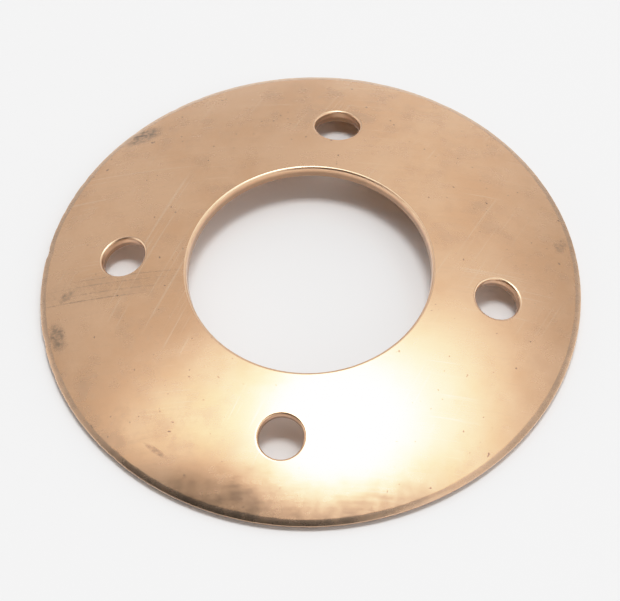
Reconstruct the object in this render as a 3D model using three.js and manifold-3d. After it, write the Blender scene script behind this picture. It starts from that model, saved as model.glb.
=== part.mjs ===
// Spherical thrust washer, stamped in one piece from bronze strip.
//
// Millimetres, +Z up. The washer lies crowned side up on its rim, and the origin is the centre
// of the flat ring that it rests on. The blank is pierced and cut out flat and then dished, so
// the walls of the bore, of the holes and of the rim all point at the centre of the crown.

import * as THREE from 'three';
import { mergeVertices } from 'three/addons/utils/BufferGeometryUtils.js';
import Module from 'manifold-3d';

// Driving dimensions.
const OUTER_DIAMETER = 76; // widest, where the rim's bevel meets its wall
const BORE_DIAMETER = 34.5; // at the crowned face
const THICKNESS = 1.75;
const CROWN_RADIUS = 91.5; // radius of the sphere that the crowned face lies on
const HOLE_COUNT = 4;
const HOLE_CIRCLE_DIAMETER = 53; // at the crowned face
const HOLE_DIAMETER = 6.35;
const RIM_BEVEL_WIDTH = 1.0; // the crowned face's outer edge, drawn down a little in blanking
const RIM_BEVEL_DEPTH = 0.1;
const LIP_RADIUS = 0.35; // rounding where the bore and the holes meet the crowned face
const SEAT_DEPTH = 0.3; // worn off the rim's lower edge, which leaves a narrow flat ring

// How finely the curves are divided.
const TURN_SEGMENTS = 96;
const HOLE_SEGMENTS = 32;
const FACE_STEPS = 7;
const LIP_STEPS = 3;

// Angles are measured at the centre of the crown, from the washer's axis.
const cupRadius = CROWN_RADIUS - THICKNESS;
const boreAngle = Math.asin(BORE_DIAMETER / 2 / CROWN_RADIUS);
const holeAngle = Math.asin(HOLE_CIRCLE_DIAMETER / 2 / CROWN_RADIUS);
const rimCornerRadius = CROWN_RADIUS - RIM_BEVEL_DEPTH;
const rimAngle = Math.asin(OUTER_DIAMETER / 2 / rimCornerRadius);
const seatHeight = cupRadius * Math.cos(rimAngle) + SEAT_DEPTH; // above the crown's centre
const seatInnerAngle = Math.acos(seatHeight / cupRadius);

const wasm = await Module();
wasm.setup();

/** A profile point at a radius and angle from the centre of the crown. */
function crownPoint(radius, angle) {
  return new THREE.Vector2(radius * Math.sin(angle), radius * Math.cos(angle) - seatHeight);
}

/** A face's arc, both ends included. */
function faceArc(radius, fromAngle, toAngle) {
  const points = [];
  for (let step = 0; step <= FACE_STEPS; step += 1) {
    const angle = THREE.MathUtils.lerp(fromAngle, toAngle, step / FACE_STEPS);
    points.push(crownPoint(radius, angle));
  }
  return points;
}

/** The rounded lip's places across the face and down from it, from the face to the wall. */
function lipPlaces() {
  const places = [];
  for (let step = 0; step <= LIP_STEPS; step += 1) {
    const turn = (step / LIP_STEPS) * (Math.PI / 2);
    const across = LIP_RADIUS * (1 - Math.sin(turn));
    const down = LIP_RADIUS * (1 - Math.cos(turn));
    places.push({ across, down });
  }
  return places;
}

/** The bore's lip, from the crowned face to the wall and without the face's own point. */
function boreLip() {
  const [, ...places] = lipPlaces();
  const edge = [];
  for (const { across, down } of places) {
    edge.push(crownPoint(CROWN_RADIUS - down, boreAngle + across / CROWN_RADIUS));
  }
  return edge;
}

/** The washer's section, as a closed outline. */
function washerProfile() {
  const crownFrom = boreAngle + LIP_RADIUS / CROWN_RADIUS;
  const crownTo = rimAngle - RIM_BEVEL_WIDTH / CROWN_RADIUS;
  const seatOuter = new THREE.Vector2(seatHeight * Math.tan(rimAngle), 0);
  const outline = [
    seatOuter,
    crownPoint(rimCornerRadius, rimAngle),
    ...faceArc(CROWN_RADIUS, crownTo, crownFrom),
    ...boreLip(),
    ...faceArc(cupRadius, boreAngle, seatInnerAngle),
    seatOuter,
  ];
  return outline;
}

/** The section of the cutter for one hole: a shank that flares to the hole's rounded lip. */
function holeProfile() {
  const radius = HOLE_DIAMETER / 2;
  const reach = 2 * THICKNESS;
  const outline = [new THREE.Vector2(0, -reach), new THREE.Vector2(radius, -reach)];
  for (const { across, down } of lipPlaces().reverse()) {
    outline.push(new THREE.Vector2(radius + across, -down));
  }
  outline.push(new THREE.Vector2(radius + LIP_RADIUS, reach), new THREE.Vector2(0, reach));
  return outline;
}

/** Turns a section about the Z axis. */
function turned(profile, segments) {
  const geometry = new THREE.LatheGeometry(profile, segments);
  geometry.rotateX(Math.PI / 2);
  return geometry;
}

/** A solid with shared vertices, and without the flat triangles a lathe leaves on its axis. */
function toSolid(geometry) {
  const bare = geometry.clone();
  bare.deleteAttribute('normal');
  bare.deleteAttribute('uv');
  const merged = mergeVertices(bare, 1e-4);
  const corners = [];
  const index = merged.index.array;
  for (let i = 0; i < index.length; i += 3) {
    const [a, b, c] = [index[i], index[i + 1], index[i + 2]];
    if (a !== b && b !== c && c !== a) {
      corners.push(a, b, c);
    }
  }
  const vertProperties = new Float32Array(merged.attributes.position.array);
  const mesh = new wasm.Mesh({ numProp: 3, vertProperties, triVerts: new Uint32Array(corners) });
  return new wasm.Manifold(mesh);
}

/** The solid's triangles as a geometry with flat faces. */
function toGeometry(solid) {
  const mesh = solid.getMesh();
  const geometry = new THREE.BufferGeometry();
  geometry.setAttribute('position', new THREE.BufferAttribute(mesh.vertProperties, 3));
  geometry.setIndex(new THREE.BufferAttribute(mesh.triVerts, 1));
  geometry.computeVertexNormals();
  return geometry;
}

/** The cutter for the hole at a turn about the washer's axis, square to the crowned face. */
function holeCutter(turn) {
  const cutter = turned(holeProfile(), HOLE_SEGMENTS);
  cutter.translate(0, 0, CROWN_RADIUS);
  cutter.rotateY(holeAngle);
  cutter.rotateZ(turn);
  cutter.translate(0, 0, -seatHeight);
  return toSolid(cutter);
}

function washerSolid() {
  let solid = toSolid(turned(washerProfile(), TURN_SEGMENTS));
  for (let hole = 0; hole < HOLE_COUNT; hole += 1) {
    solid = solid.subtract(holeCutter((hole / HOLE_COUNT) * 2 * Math.PI));
  }
  return solid;
}

const bronze = new THREE.MeshStandardMaterial({ color: 0xc79f78, roughness: 0.35, metalness: 1 });

const washer = new THREE.Mesh(toGeometry(washerSolid()), bronze);
washer.name = 'washer';

const part = new THREE.Group();
part.add(washer);

export default part;
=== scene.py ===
"""A spherical thrust washer of bronze sheet, lying crowned side up on a pale table.

Metres, +Z up, in the frame of the CAD model. The washer is drawn again here with a fine mesh, with
the edges that stamping leaves, and with a procedural bronze that carries its tarnish and scratches.
"""

import math

import bpy
import numpy as np
from mathutils import Matrix, Quaternion, Vector, noise


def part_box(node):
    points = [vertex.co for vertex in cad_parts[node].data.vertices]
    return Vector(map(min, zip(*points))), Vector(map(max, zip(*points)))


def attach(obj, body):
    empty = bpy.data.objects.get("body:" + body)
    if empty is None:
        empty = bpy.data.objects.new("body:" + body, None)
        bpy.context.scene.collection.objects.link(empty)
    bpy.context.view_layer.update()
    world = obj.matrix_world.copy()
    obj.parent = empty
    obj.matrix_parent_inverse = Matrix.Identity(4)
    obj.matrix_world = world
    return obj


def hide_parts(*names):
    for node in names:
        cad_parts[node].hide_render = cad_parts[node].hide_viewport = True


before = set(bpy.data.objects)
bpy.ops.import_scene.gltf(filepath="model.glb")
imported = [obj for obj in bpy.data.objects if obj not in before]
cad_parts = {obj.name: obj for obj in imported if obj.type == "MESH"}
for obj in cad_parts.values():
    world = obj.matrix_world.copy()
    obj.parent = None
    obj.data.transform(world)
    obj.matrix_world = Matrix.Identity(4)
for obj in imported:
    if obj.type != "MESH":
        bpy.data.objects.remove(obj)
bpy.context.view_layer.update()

# The washer's driving dimensions, as in the CAD model.
MM = 0.001
THICKNESS = 1.75 * MM
CROWN_RADIUS = 91.5 * MM
BORE_RADIUS = 17.25 * MM
HOLE_CIRCLE_RADIUS = 26.5 * MM
HOLE_RADIUS = 3.175 * MM
HOLE_COUNT = 4
RIM_BEVEL_WIDTH = 1.0 * MM
RIM_BEVEL_DEPTH = 0.10 * MM
RIM_CORNER = 0.13 * MM  # the small radius between the bevel and the wall
LIP_RADIUS = 0.35 * MM
LOWER_BREAK = 0.08 * MM  # the edges at the cupped face are only broken
SEAT_DEPTH = 0.3 * MM
SEAT_INSET = 0.08 * MM  # how far the torn wall has drawn in where it meets the table

washer_low, washer_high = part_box("washer")
RIM_RADIUS = (washer_high.x - washer_low.x) / 2

# Angles at the centre of the crown, from the washer's axis.
CUP_RADIUS = CROWN_RADIUS - THICKNESS
BORE_ANGLE = math.asin(BORE_RADIUS / CROWN_RADIUS)
HOLE_ANGLE = math.asin(HOLE_CIRCLE_RADIUS / CROWN_RADIUS)
RIM_ANGLE = math.asin(RIM_RADIUS / (CROWN_RADIUS - RIM_BEVEL_DEPTH))
SEAT_HEIGHT = CUP_RADIUS * math.cos(RIM_ANGLE) + SEAT_DEPTH
SEAT_INNER_ANGLE = math.acos(SEAT_HEIGHT / CUP_RADIUS)

# How finely the mesh is divided.
SECTOR_COLUMNS = 176  # columns from one hole to the next
COLUMNS = SECTOR_COLUMNS * HOLE_COUNT
FACE_ROWS = 36
PATCH_COLUMNS = 46  # the rectangle of the grid that gives way to rings around a hole
PATCH_ROWS = 18
PATCH_RINGS = 9
ROUND_STEPS = 5
BEVEL_STEPS = 6
WALL_HEIGHTS = (LOWER_BREAK, 0.45 * MM, 0.9 * MM)  # rings up the walls of the bore and the holes

# The camera, as the angles and distance at which it stands.
CAMERA_AZIMUTH = 10.5
CAMERA_ELEVATION = 56.2
CAMERA_ROLL = -2.3
CAMERA_DISTANCE = 0.705
CAMERA_LENS = 291.5
CAMERA_AIM = Vector((0.0, -0.0005, 0.0006))

# How scene levels are shown: as they are up to the start of the shoulder, then ever more gently.
SHOULDER_START = 0.5
SHOULDER_LENGTH = 2
SHOULDER_STEPS = 12
TONE_WHITE = 4.0

# The plainest marks on the crowned face, placed against the four holes. Each is its turn about
# the axis in degrees, its share of the way from the bore to the rim, its half length and half width in
# millimetres, the way it lies in degrees, and its depth of tone.
MARKS = (
    (140, 0.9, 3.0, 1.5, 30, 0.7),
    (190, 0.8, 1.5, 0.8, 40, 0.6),
    (200, 0.9, 2.5, 1.2, 110, 0.7),
    (20, 0.9, 1.5, 0.8, 80, 0.4),
    (240, 0.8, 2.0, 0.4, -30, 0.4),
    (190, 0.5, 12.0, 2.5, 5, 0.15),
)

# Faint lines side by side between the left hole and the rim, where the washer was dragged.
DRAG_LINES = 4
DRAG_TURN = 190
DRAG_SHARE = 0.5
DRAG_SPACING = 1.3
DRAG_STAGGER = 1.6  # how far each line starts past the one beside it
DRAG_LINE = (9.5, 0.13, 5, 0.42)  # half length and half width in mm, lie in degrees, depth of tone

NICK_DEPTH = 0.45 * MM
NICK_LEVEL = 0.35  # how high the noise must rise before the rim is nicked

# The metal's colours, with painted shade on the torn walls and a painted highlight on the lips.
BRONZE_DEEP = (0.81, 0.470, 0.255, 1)
BRONZE_PALE = (0.87, 0.535, 0.315, 1)
TARNISH = (0.56, 0.36, 0.23, 1)
GRAIN_SHADE = (0.60, 0.39, 0.25, 1)
SPECKLE_SHADE = (0.50, 0.31, 0.20, 1)
STAIN_SHADE = (0.16, 0.12, 0.09, 1)
PIT_SHADE = (0.20, 0.13, 0.09, 1)
SCRATCH_SHINE = (0.90, 0.66, 0.46, 1)
# The torn walls' colour: partly the dull fracture itself, partly painted shade, as if the walls mirrored the
# shadowed table.
TORN_METAL_AND_SHADE = (0.34, 0.19, 0.10, 1)
EDGE_TARNISH = (0.58, 0.39, 0.26, 1)
# A painted highlight: the lips of the bore and the holes are lightened as if they caught the lamp.
LIP_PAINTED_HIGHLIGHT = (0.88, 0.60, 0.39, 1)

# The lamp overhead, in metres and degrees. Its azimuth is counted from the camera's.
LAMP_AZIMUTH = 86
LAMP_ELEVATION = 86.0
LAMP_DISTANCE = 1.0
LAMP_WIDTH = 0.24
LAMP_DEPTH = 0.19
LAMP_RADIANCE = 26.0

# How bright the room's parts are.
ROOM_MIDDLE = 0.68
ROOM_ASIDE = 0.52
ROOM_LOW_SIDES = 1.4
RIDGE_LEVEL = 0.18
GLOW_LEVEL = 1.5
FRONT_RIGHT_LEVEL = 0.6
SHADE_DEPTH = 0.95
FRONT_SHADE_SHARE = 0.88


def on_crown(radius, angle, turn):
    """The point at a radius and angle from the crown's centre, turned about the washer's axis."""
    across = radius * math.sin(angle)
    return (across * math.cos(turn), across * math.sin(turn), radius * math.cos(angle) - SEAT_HEIGHT)


def column_turn(column):
    return 2 * math.pi * column / COLUMNS


class Skin:
    """Collects the washer's points, quads and how each point was cut: 0 rolled face, 1 torn wall."""

    def __init__(self):
        self.points = []
        self.quads = []
        self.cut = []

    def ring(self, points, cut=0.0):
        first = len(self.points)
        self.points.extend(points)
        self.cut.extend([cut] * len(points))
        return list(range(first, len(self.points)))

    def band(self, first, second):
        """Quads from one closed ring to the next, facing out when the section runs that way."""
        count = len(first)
        for i in range(count):
            j = (i + 1) % count
            self.quads.append((first[i], second[i], second[j], first[j]))

    def bands(self, rings):
        for first, second in zip(rings, rings[1:]):
            self.band(first, second)


def hole_axes(hole):
    """The outward normal at a hole's centre, and the directions away from the axis and around it."""
    turn = 2 * math.pi * hole / HOLE_COUNT
    sine, cosine = math.sin(HOLE_ANGLE), math.cos(HOLE_ANGLE)
    normal = Vector((sine * math.cos(turn), sine * math.sin(turn), cosine))
    away = Vector((cosine * math.cos(turn), cosine * math.sin(turn), -sine))
    around = Vector((-math.sin(turn), math.cos(turn), 0.0))
    return normal, away, around


def beside_hole(axes, height, reach, turn):
    """A point at a height along a hole's axis from the crown's centre and a reach away from it."""
    normal, away, around = axes
    point = normal * height + (away * math.cos(turn) + around * math.sin(turn)) * reach
    return (point.x, point.y, point.z - SEAT_HEIGHT)


def patch_loop(hole, middle_row):
    """The (row, column) places around a hole's patch, turning the same way as the hole's rings."""
    middle = hole * SECTOR_COLUMNS
    left, right = middle - PATCH_COLUMNS // 2, middle + PATCH_COLUMNS // 2
    near, far = middle_row - PATCH_ROWS // 2, middle_row + PATCH_ROWS // 2
    loop = [(far, column) for column in range(left, right)]
    loop += [(row, right) for row in range(far, near, -1)]
    loop += [(near, column) for column in range(right, left, -1)]
    loop += [(row, left) for row in range(near, far)]
    return [(row, column % COLUMNS) for row, column in loop]


def in_patch(row, column, middle_row):
    """True for a grid cell that a hole's rings take the place of."""
    near, far = middle_row - PATCH_ROWS // 2, middle_row + PATCH_ROWS // 2
    beside = (column + PATCH_COLUMNS // 2) % SECTOR_COLUMNS
    return near <= row < far and beside < PATCH_COLUMNS


def row_shares():
    """How far each row of a face lies from its inner to its outer edge, with a close row at both."""
    close = 0.004
    inner = [0.0]
    for row in range(FACE_ROWS - 1):
        inner.append(close + (1 - 2 * close) * row / (FACE_ROWS - 2))
    return inner + [1.0]


def face(skin, radius, inner_angle, outer_angles, hole_reach, outward):
    """One face of the sheet. Returns its inner ring, outer ring, and each hole's ring with turns."""
    shares = row_shares()
    rows = []
    for share in shares:
        points = []
        for column in range(COLUMNS):
            angle = inner_angle + (outer_angles[column] - inner_angle) * share
            points.append(on_crown(radius, angle, column_turn(column)))
        rows.append(skin.ring(points))
    mean_outer = sum(outer_angles) / COLUMNS
    hole_share = (HOLE_ANGLE - inner_angle) / (mean_outer - inner_angle)
    middle_row = min(range(len(shares)), key=lambda row: abs(shares[row] - hole_share))
    for row in range(len(rows) - 1):
        for column in range(COLUMNS):
            if in_patch(row, column, middle_row):
                continue
            after = (column + 1) % COLUMNS
            near, far = rows[row], rows[row + 1]
            quad = (near[column], far[column], far[after], near[after])
            skin.quads.append(quad if outward else quad[::-1])
    holes = []
    for hole in range(HOLE_COUNT):
        loop = [rows[row][column] for row, column in patch_loop(hole, middle_row)]
        holes.append(hole_rings(skin, hole, loop, radius, hole_reach, outward))
    return rows[0], rows[-1], holes


def hole_rings(skin, hole, loop, radius, hole_reach, outward):
    """Rings that run from a hole's edge to the grid around it. Returns the edge ring and turns."""
    axes = hole_axes(hole)
    centre = Vector((0.0, 0.0, -SEAT_HEIGHT))
    reaches, turns = [], []
    for index in loop:
        offset = Vector(skin.points[index]) - centre
        along, beside = offset.dot(axes[1]), offset.dot(axes[2])
        reaches.append(math.hypot(along, beside))
        turns.append(math.atan2(beside, along))
    rings = []
    for step in range(PATCH_RINGS):
        share = (step / PATCH_RINGS) ** 1.6
        points = []
        for reach, turn in zip(reaches, turns):
            out = hole_reach + (reach - hole_reach) * share
            height = math.sqrt(radius ** 2 - out ** 2)
            points.append(beside_hole(axes, height, out, turn))
        rings.append(skin.ring(points))
    rings.append(loop)
    for first, second in zip(rings, rings[1:]):
        if outward:
            skin.band(first, second)
        else:
            skin.band(second, first)
    return rings[0], turns


def wave(turn, frequency, seed):
    """Smooth noise from -1 to 1 around the washer, which closes on itself."""
    place = Vector((math.cos(turn), math.sin(turn), 0.0)) * frequency
    return noise.noise(place + Vector((0.0, 0.0, seed)))


def rim_shape(turn):
    """The rim's edge at a turn: how wide its bevel is, how deep, and how far the wall is nicked in."""
    width = RIM_BEVEL_WIDTH * (1 + 0.10 * wave(turn, 4, 3.1) + 0.06 * wave(turn, 34, 7.7))
    depth = RIM_BEVEL_DEPTH * (1 + 0.15 * wave(turn, 5, 1.3) + 0.10 * wave(turn, 40, 5.9))
    dent = 0.018 * MM * (1 + wave(turn, 60, 9.2))
    left_side = 0.5 - 0.5 * math.cos(turn)
    dent += NICK_DEPTH * left_side * max(0.0, wave(turn, 22, 4.4) - NICK_LEVEL)
    return width, depth, dent


def rim_ring(skin, shapes, place, cut):
    """A ring near the rim. place gives back from the wall and down from the face for each shape."""
    points = []
    for column, shape in enumerate(shapes):
        turn = column_turn(column)
        back, down = place(shape, turn)
        angle = RIM_ANGLE - (back + shape[2]) / CROWN_RADIUS
        points.append(on_crown(CROWN_RADIUS - down, angle, turn))
    return skin.ring(points, cut)


def rim_edge(skin, shapes):
    """The rings of the bevel and of the small round corner between it and the wall."""
    rings = []
    for step in range(1, BEVEL_STEPS + 1):
        share = step / BEVEL_STEPS
        ease = 0.35 * share + 0.65 * share ** 2
        rings.append(rim_ring(
            skin, shapes, lambda shape, turn: (
                (shape[0] - RIM_CORNER) * (1 - share) + RIM_CORNER,
                shape[1] * ease),
            0.2))
    for step in range(1, ROUND_STEPS + 1):
        swing = step / ROUND_STEPS * math.pi / 2
        inward, drop = RIM_CORNER * (1 - math.sin(swing)), RIM_CORNER * (1 - math.cos(swing))
        rings.append(rim_ring(skin, shapes, lambda shape, turn: (inward, shape[1] + drop), 0.25))
    return rings


def rim_wall(skin, shapes):
    """The sheared wall under the rim's edge: burnished above, torn and slightly drawn in below."""
    bottom = CROWN_RADIUS - SEAT_HEIGHT / math.cos(RIM_ANGLE)
    rings = []
    for share, tear in ((0.08, 0.0), (0.35, 0.0), (0.42, 0.02), (0.6, 0.035), (0.8, 0.045), (0.97, 0.05)):
        rings.append(rim_ring(
            skin, shapes, lambda shape, turn: (
                tear * MM * (1 + 0.8 * wave(turn, 80, 20 * share)),
                shape[1] + RIM_CORNER + (bottom - shape[1] - RIM_CORNER) * share),
            1.0))
    seat_outer = SEAT_HEIGHT * math.tan(RIM_ANGLE) - SEAT_INSET
    points = []
    for column in range(COLUMNS):
        turn = column_turn(column)
        points.append((seat_outer * math.cos(turn), seat_outer * math.sin(turn), 0.0))
    rings.append(skin.ring(points, 1.0))
    return rings


def lip_shape():
    """(back from the wall, down from the face) over a rounded lip, from the face to the wall."""
    shape = []
    for step in range(1, ROUND_STEPS + 1):
        swing = step / ROUND_STEPS * math.pi / 2
        shape.append((LIP_RADIUS * (1 - math.sin(swing)), LIP_RADIUS * (1 - math.cos(swing))))
    return shape


def bore_wall(skin):
    """The bore's rings from the cupped face up its wall and over its lip, without the face's own."""
    rings = []
    for up in WALL_HEIGHTS:
        points = [on_crown(CUP_RADIUS + up, BORE_ANGLE, column_turn(c)) for c in range(COLUMNS)]
        rings.append(skin.ring(points, 1.0 if up < 0.5 * MM else 0.7))
    for back, down in reversed(lip_shape()):
        angle = BORE_ANGLE + back / CROWN_RADIUS
        points = [on_crown(CROWN_RADIUS - down, angle, column_turn(c)) for c in range(COLUMNS)]
        rings.append(skin.ring(points, 0.4))
    return rings


def hole_wall(skin, hole, turns):
    """A small hole's rings from the cupped face up its wall and over its lip."""
    axes = hole_axes(hole)
    floor = math.sqrt(CUP_RADIUS ** 2 - HOLE_RADIUS ** 2)
    brow = math.sqrt(CROWN_RADIUS ** 2 - (HOLE_RADIUS + LIP_RADIUS) ** 2)
    places = [(HOLE_RADIUS, floor + up) for up in WALL_HEIGHTS]
    places += [(HOLE_RADIUS + back, brow - down) for back, down in reversed(lip_shape())]
    rings = []
    for step, (reach, height) in enumerate(places):
        points = [beside_hole(axes, height, reach, turn) for turn in turns]
        rings.append(skin.ring(points, 1.0 if step < 2 else 0.45))
    return rings


def washer_mesh():
    """The whole washer as one closed mesh."""
    skin = Skin()
    shapes = [rim_shape(column_turn(column)) for column in range(COLUMNS)]
    outer_angles = []
    for width, depth, dent in shapes:
        outer_angles.append(RIM_ANGLE - (width + dent) / CROWN_RADIUS)
    crown_inner = BORE_ANGLE + LIP_RADIUS / CROWN_RADIUS
    top_inner, top_outer, top_holes = face(
        skin, CROWN_RADIUS, crown_inner, outer_angles, HOLE_RADIUS + LIP_RADIUS, True)
    cup_inner = BORE_ANGLE + LOWER_BREAK / CUP_RADIUS
    low_inner, low_outer, low_holes = face(
        skin, CUP_RADIUS, cup_inner, [SEAT_INNER_ANGLE] * COLUMNS, HOLE_RADIUS + LOWER_BREAK, False)
    skin.bands([top_outer] + rim_edge(skin, shapes) + rim_wall(skin, shapes) + [low_outer])
    skin.bands([low_inner] + bore_wall(skin) + [top_inner])
    for hole in range(HOLE_COUNT):
        (top_ring, turns), (low_ring, _) = top_holes[hole], low_holes[hole]
        skin.bands([low_ring] + hole_wall(skin, hole, turns) + [top_ring])
    mesh = bpy.data.meshes.new("washer_surface")
    mesh.from_pydata(skin.points, [], skin.quads)
    cut = mesh.attributes.new("cut", "FLOAT", "POINT")
    cut.data.foreach_set("value", np.array(skin.cut, np.float32))
    mesh.polygons.foreach_set("use_smooth", [True] * len(mesh.polygons))
    mesh.set_sharp_from_angle(angle=math.radians(38))
    mesh.validate()
    mesh.update()
    return mesh


class Graph:
    """Short calls for building a material's or a world's nodes."""

    def __init__(self, tree):
        self.tree = tree
        tree.nodes.clear()

    def node(self, kind, inputs=None, **settings):
        made = self.tree.nodes.new(kind)
        for name, value in settings.items():
            setattr(made, name, value)
        for name, value in (inputs or {}).items():
            self.put(made.inputs[name], value)
        return made

    def put(self, socket, value):
        if isinstance(value, bpy.types.NodeSocket):
            self.tree.links.new(value, socket)
        else:
            socket.default_value = value

    def math(self, operation, first, second=0.0):
        return self.node("ShaderNodeMath", {0: first, 1: second}, operation=operation).outputs[0]

    def vector(self, operation, first, second=(0.0, 0.0, 0.0)):
        made = self.node("ShaderNodeVectorMath", {0: first, 1: second}, operation=operation)
        return made.outputs["Value" if operation in ("LENGTH", "DOT_PRODUCT") else "Vector"]

    def noise(self, place, scale, detail=2.0, roughness=0.5, distortion=0.0, colour=False):
        inputs = {"Vector": place, "Scale": scale, "Detail": detail, "Roughness": roughness,
                  "Distortion": distortion}
        return self.node("ShaderNodeTexNoise", inputs).outputs["Color" if colour else "Fac"]

    def between(self, value, low, high, to_low=0.0, to_high=1.0):
        inputs = {"Value": value, "From Min": low, "From Max": high, "To Min": to_low, "To Max": to_high}
        return self.node("ShaderNodeMapRange", inputs, interpolation_type="SMOOTHSTEP").outputs["Result"]

    def stretch(self, place, angle, scale, shift=0.0):
        """The place turned back by an angle about Z, then scaled, for streaks that run that way."""
        turned = self.node("ShaderNodeVectorRotate", {"Vector": place, "Angle": -math.radians(angle)})
        inputs = {"Vector": turned.outputs["Vector"], "Scale": scale, "Location": (shift, shift, shift)}
        return self.node("ShaderNodeMapping", inputs).outputs["Vector"]

    def blend(self, share, first, second):
        made = self.node("ShaderNodeMix", data_type="RGBA")
        self.put(made.inputs[0], share)
        self.put(made.inputs[6], first)
        self.put(made.inputs[7], second)
        return made.outputs[2]


def bronze_material():
    """Bare bronze sheet with tarnish, rolling grain, fine scratches, stains and small pits."""
    material = bpy.data.materials.new("bronze")
    material.use_nodes = True
    g = Graph(material.node_tree)
    own = g.node("ShaderNodeTexCoord").outputs["Object"]
    place = g.vector("SCALE", own)
    place.node.inputs["Scale"].default_value = 1000.0  # in millimetres from here on
    cut = g.node("ShaderNodeAttribute", attribute_name="cut").outputs["Fac"]
    ragged = g.vector("SUBTRACT", g.noise(place, 0.9, 3.0, 0.6, colour=True), (0.5, 0.5, 0.5))
    strayed = g.vector("ADD", place, g.vector("MULTIPLY", ragged, (1.6, 1.6, 0.0)))

    cloud = g.noise(place, 0.07, 4.0, 0.6, 0.2)
    mottle = g.noise(place, 0.30, 4.0, 0.60)
    speckle = g.noise(place, 3.2, 2.0, 0.65)
    grain = g.noise(g.stretch(place, 8.0, (0.10, 1.6, 0.10)), 1.0, 4.0, 0.6)
    hairline = g.math("MAXIMUM", scratches(g, place, 6.0, 2.7), scratches(g, place, 71.0, 5.1))
    stain = stains(g, place, strayed)
    pit = g.between(g.noise(place, 1.4, 1.0, 0.5), 0.745, 0.785)

    colour = g.blend(g.between(cloud, 0.36, 0.64), BRONZE_DEEP, BRONZE_PALE)
    tarnish = g.math("MULTIPLY", g.between(mottle, 0.42, 0.74), g.between(cloud, 0.60, 0.42, 0.12, 0.42))
    colour = g.blend(tarnish, colour, TARNISH)
    colour = g.blend(g.between(grain, 0.45, 0.75, 0.0, 0.12), colour, GRAIN_SHADE)
    colour = g.blend(g.between(speckle, 0.60, 0.76, 0.0, 0.16), colour, SPECKLE_SHADE)
    colour = g.blend(stain, colour, STAIN_SHADE)
    colour = g.blend(g.math("MULTIPLY", pit, 0.75), colour, PIT_SHADE)
    colour = g.blend(g.math("MULTIPLY", hairline, 0.35), colour, SCRATCH_SHINE)
    # The bore, hole and rim walls turn dark: partly the torn metal's own colour, partly painted shade in
    # these recesses.
    torn = g.between(cut, 0.45, 0.9)
    colour = g.blend(g.math("MULTIPLY", torn, 0.85), colour, TORN_METAL_AND_SHADE)
    edge = g.math("MULTIPLY", g.between(cut, 0.02, 0.15), g.between(cut, 0.36, 0.30))
    worn = g.between(g.noise(place, 0.8, 3.0, 0.6), 0.30, 0.60, 0.45, 0.80)
    colour = g.blend(g.math("MULTIPLY", edge, worn), colour, EDGE_TARNISH)
    # Painted highlight on the rounded lips of the bore and the holes.
    lip = g.math("MULTIPLY", g.between(cut, 0.36, 0.40), g.between(cut, 0.48, 0.46))
    colour = g.blend(g.math("MULTIPLY", lip, 0.6), colour, LIP_PAINTED_HIGHLIGHT)

    rough = g.between(mottle, 0.3, 0.7, 0.215, 0.285)
    rough = g.math("ADD", rough, g.between(grain, 0.3, 0.7, -0.015, 0.015))
    rough = g.math("ADD", rough, g.math("MULTIPLY", torn, 0.16))
    rough = g.math("ADD", rough, g.math("MULTIPLY", g.between(cut, 0.1, 0.4), 0.10))
    rough = g.math("ADD", rough, g.math("MULTIPLY", stain, 0.20))

    height = g.math("MULTIPLY", g.noise(place, 0.13, 2.0, 0.5), 0.026)
    height = g.math("ADD", height, g.math("MULTIPLY", grain, 0.0007))
    relief = g.math("MULTIPLY_ADD", torn, 0.05)
    relief.node.inputs[2].default_value = 0.0004
    height = g.math("ADD", height, g.math("MULTIPLY", speckle, relief))
    bump = g.node("ShaderNodeBump", {"Height": height, "Strength": 1.0, "Distance": 0.001})

    inputs = {"Base Color": colour, "Metallic": 1.0, "Roughness": rough, "Normal": bump.outputs["Normal"],
              "Coat Weight": 1.0, "Coat Roughness": 0.35}
    shader = g.node("ShaderNodeBsdfPrincipled", inputs)
    g.node("ShaderNodeOutputMaterial", {"Surface": shader.outputs[0]})
    return material


def scratches(g, place, turn, seed):
    """Fine straight scratches that run one way and come and go along their length."""
    lines = g.noise(g.stretch(place, turn, (0.035, 3.0, 0.035), seed), 1.0, 2.0, 0.5)
    patches = g.noise(g.stretch(place, turn, (0.10, 0.10, 0.10), seed), 1.0, 2.0, 0.5)
    return g.math("MULTIPLY", g.between(lines, 0.62, 0.68), g.between(patches, 0.50, 0.60))


def mark_place(turn, share):
    """The x and y in millimetres of a place on the crowned face."""
    angle = BORE_ANGLE + share * (RIM_ANGLE - BORE_ANGLE)
    x, y, _ = on_crown(CROWN_RADIUS, angle, math.radians(turn))
    return x / MM, y / MM


def all_marks():
    """(x, y, half length, half width, lie, depth) of each mark and drag line."""
    marks = []
    for turn, share, length, width, lie, depth in MARKS:
        marks.append((*mark_place(turn, share), length, width, lie, depth))
    x, y = mark_place(DRAG_TURN, DRAG_SHARE)
    for line in range(DRAG_LINES):
        place = line - (DRAG_LINES - 1) / 2
        uneven = 0.5 * wave(line, 1, 6.3)
        marks.append((x + place * DRAG_STAGGER, y + (place + uneven) * DRAG_SPACING, *DRAG_LINE))
    return marks


def stains(g, place, strayed):
    """How deeply each place is stained: soft ragged blots, with a streaky texture inside."""
    streak = g.noise(g.stretch(place, 5.0, (0.05, 2.2, 0.05)), 1.0, 3.0, 0.6)
    blotch = g.between(g.noise(place, 1.8), 0.4, 0.6, 0.0, 0.5)
    broken = g.math("ADD", g.between(streak, 0.35, 0.65, 0.3, 0.7), blotch)
    total = None
    for x, y, length, width, lie, depth in all_marks():
        offset = g.vector("SUBTRACT", strayed if width > 0.7 else place, (x, y, 0.0))
        inside = g.stretch(offset, lie, (1.0 / length, 1.0 / width, 0.0))
        blot = g.between(g.vector("LENGTH", inside), 1.25, 0.4, 0.0, depth)
        total = blot if total is None else g.math("MAXIMUM", total, blot)
    return g.math("MULTIPLY", total, broken)


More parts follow.
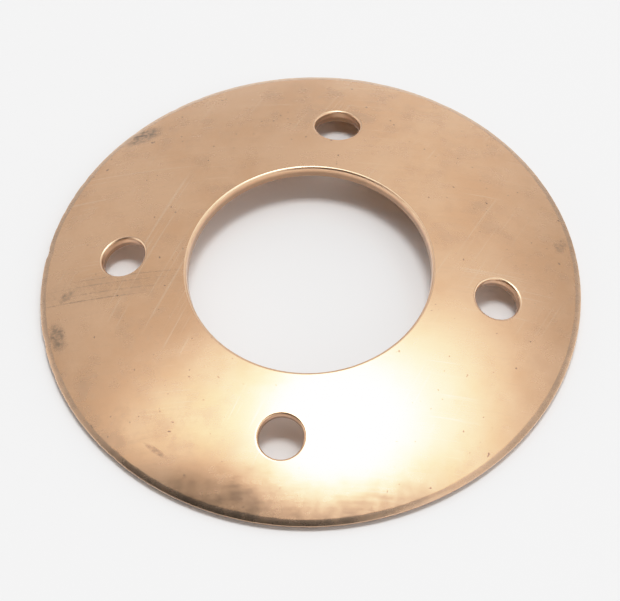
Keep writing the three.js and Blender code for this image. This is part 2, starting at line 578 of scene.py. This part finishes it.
def table_material():
    """Plain white sheet under the washer."""
    material = bpy.data.materials.new("table")
    material.use_nodes = True
    g = Graph(material.node_tree)
    shader = g.node("ShaderNodeBsdfPrincipled", {"Base Color": (0.95, 0.95, 0.95, 1), "Roughness": 0.8})
    g.node("ShaderNodeOutputMaterial", {"Surface": shader.outputs[0]})
    return material


def table():
    reach = 3.0
    corners = [(-reach, -reach, 0), (reach, -reach, 0), (reach, reach, 0), (-reach, reach, 0)]
    mesh = bpy.data.meshes.new("table")
    mesh.from_pydata(corners, [], [(0, 1, 2, 3)])
    mesh.materials.append(table_material())
    made = bpy.data.objects.new("table", mesh)
    bpy.context.scene.collection.objects.link(made)
    return made


def toward(azimuth, elevation):
    """The unit vector that points at a place seen at an azimuth and elevation, in degrees."""
    a, e = math.radians(azimuth), math.radians(elevation)
    return Vector((math.sin(a) * math.cos(e), -math.cos(a) * math.cos(e), math.sin(e)))


def camera():
    data = bpy.data.cameras.new("camera")
    data.sensor_width = 36.0
    data.lens = CAMERA_LENS
    data.clip_start = 0.01
    data.clip_end = 20.0
    made = bpy.data.objects.new("camera", data)
    back = toward(CAMERA_AZIMUTH, CAMERA_ELEVATION)
    turn = back.to_track_quat("Z", "Y") @ Quaternion((0.0, 0.0, 1.0), math.radians(CAMERA_ROLL))
    made.matrix_world = Matrix.Translation(CAMERA_AIM + back * CAMERA_DISTANCE) @ turn.to_matrix().to_4x4()
    bpy.context.scene.collection.objects.link(made)
    bpy.context.scene.camera = made


def facing(back):
    """The rotation that points local Z along back, with local X as near the camera's right as it can be."""
    right = toward(CAMERA_AZIMUTH + 90, 0)
    across = (right - back * right.dot(back)).normalized()
    return Matrix((across, back.cross(across), back)).transposed()


def softbox(name, azimuth, elevation, distance, width, depth, radiance):
    """A rectangular lamp that faces the washer, as bright as its radiance says."""
    data = bpy.data.lights.new(name, "AREA")
    data.shape = "RECTANGLE"
    data.size = width
    data.size_y = depth
    data.energy = radiance * math.pi * width * depth
    made = bpy.data.objects.new(name, data)
    back = toward(azimuth, elevation)
    made.matrix_world = Matrix.Translation(back * distance) @ facing(back).to_4x4()
    bpy.context.scene.collection.objects.link(made)


def surroundings():
    """A pale room, white where the camera sees it, and uneven where the metal reflects it.

    It has a broad glow overhead, a patch at the front right and brighter low sides, and is dark on
    the camera's left and front.
    """
    world = bpy.data.worlds.new("room")
    bpy.context.scene.world = world
    world.use_nodes = True
    g = Graph(world.node_tree)
    heading = g.node("ShaderNodeTexCoord").outputs["Generated"]
    degree = 180 / math.pi
    slope = g.math("ARCCOSINE", g.vector("DOT_PRODUCT", heading, (0, 0, 1)))
    zenith = g.math("MULTIPLY", slope, degree)
    right = g.vector("DOT_PRODUCT", heading, tuple(toward(CAMERA_AZIMUTH + 90, 0)))
    away = g.vector("DOT_PRODUCT", heading, tuple(toward(CAMERA_AZIMUTH + 180, 0)))
    spread = g.math("DIVIDE", zenith, g.math("MAXIMUM", g.math("SINE", slope), 0.001))
    x = g.math("MULTIPLY", right, spread)  # degrees from the zenith, to the camera's right
    y = g.math("MULTIPLY", away, spread)  # degrees from the zenith, away from the camera

    def lobe(azimuth, elevation, edge, core):
        """1 within core degrees of a direction, falling smoothly to 0 at edge degrees."""
        near = g.vector("DOT_PRODUCT", heading, tuple(toward(CAMERA_AZIMUTH + azimuth, elevation)))
        return g.between(near, math.cos(math.radians(edge)), math.cos(math.radians(core)))

    def times(first, *rest):
        for factor in rest:
            first = g.math("MULTIPLY", first, factor)
        return first

    aside = g.math("ABSOLUTE", x)
    ridge = times(g.between(x, -4, 18), g.between(x, 42, 20), RIDGE_LEVEL)
    base = g.math("ADD", ridge, g.between(aside, 34, 54, ROOM_MIDDLE, ROOM_ASIDE))
    base = g.math("ADD", base, g.between(aside, 61, 70, 0.0, ROOM_LOW_SIDES))
    lower_edge = g.math("ADD", y, g.math("MULTIPLY", x, 0.2))
    upper_edge = g.math("SUBTRACT", y, g.math("MULTIPLY", x, 0.2))
    glow = times(g.between(x, -46, -18), g.between(x, 41, 16), g.between(lower_edge, -13, -4),
                 g.between(upper_edge, 26, 4), GLOW_LEVEL)
    front_shade = times(lobe(12, 20, 66, 55), g.between(x, 28, 17), FRONT_SHADE_SHARE)
    shade = g.math("MAXIMUM", lobe(-29, 38, 45, 39), front_shade)
    open_share = g.math("SUBTRACT", 1.0, times(shade, SHADE_DEPTH))
    front_right = times(lobe(40, 24, 32, 24), FRONT_RIGHT_LEVEL)
    total = g.math("ADD", times(g.math("ADD", base, glow), open_share), front_right)
    lit = g.node("ShaderNodeBackground", {"Color": total, "Strength": 1.0})
    plain = g.node("ShaderNodeBackground", {"Color": (1.0, 1.0, 1.0, 1), "Strength": 1.0})
    seen = g.node("ShaderNodeLightPath").outputs["Is Camera Ray"]
    both = g.node("ShaderNodeMixShader", {0: seen, 1: lit.outputs[0], 2: plain.outputs[0]})
    g.node("ShaderNodeOutputWorld", {"Surface": both.outputs[0]})


def light():
    softbox("overhead", CAMERA_AZIMUTH + LAMP_AZIMUTH, LAMP_ELEVATION, LAMP_DISTANCE, LAMP_WIDTH, LAMP_DEPTH,
            LAMP_RADIANCE)


def tone():
    """Highlights that roll off softly towards white, as on film."""
    view = bpy.context.scene.view_settings
    view.view_transform = "Standard"
    view.use_curve_mapping = True
    mapping = view.curve_mapping
    mapping.white_level = (TONE_WHITE, TONE_WHITE, TONE_WHITE)
    curve = mapping.curves[3]
    reach = 1 - SHOULDER_START
    for step in range(SHOULDER_STEPS):
        past = SHOULDER_LENGTH * step / SHOULDER_STEPS
        shown = SHOULDER_START + reach * math.tanh(past / reach)
        point = curve.points.new((SHOULDER_START + past) / TONE_WHITE, shown)
        point.handle_type = "VECTOR"
    for end in (curve.points[0], curve.points[-1]):
        end.handle_type = "VECTOR"
    mapping.update()


washer = bpy.data.objects.new("washer_bronze", washer_mesh())
bpy.context.scene.collection.objects.link(washer)
washer.data.materials.append(bronze_material())
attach(washer, "root")
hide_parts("washer")
table()

camera()
surroundings()
light()
tone()
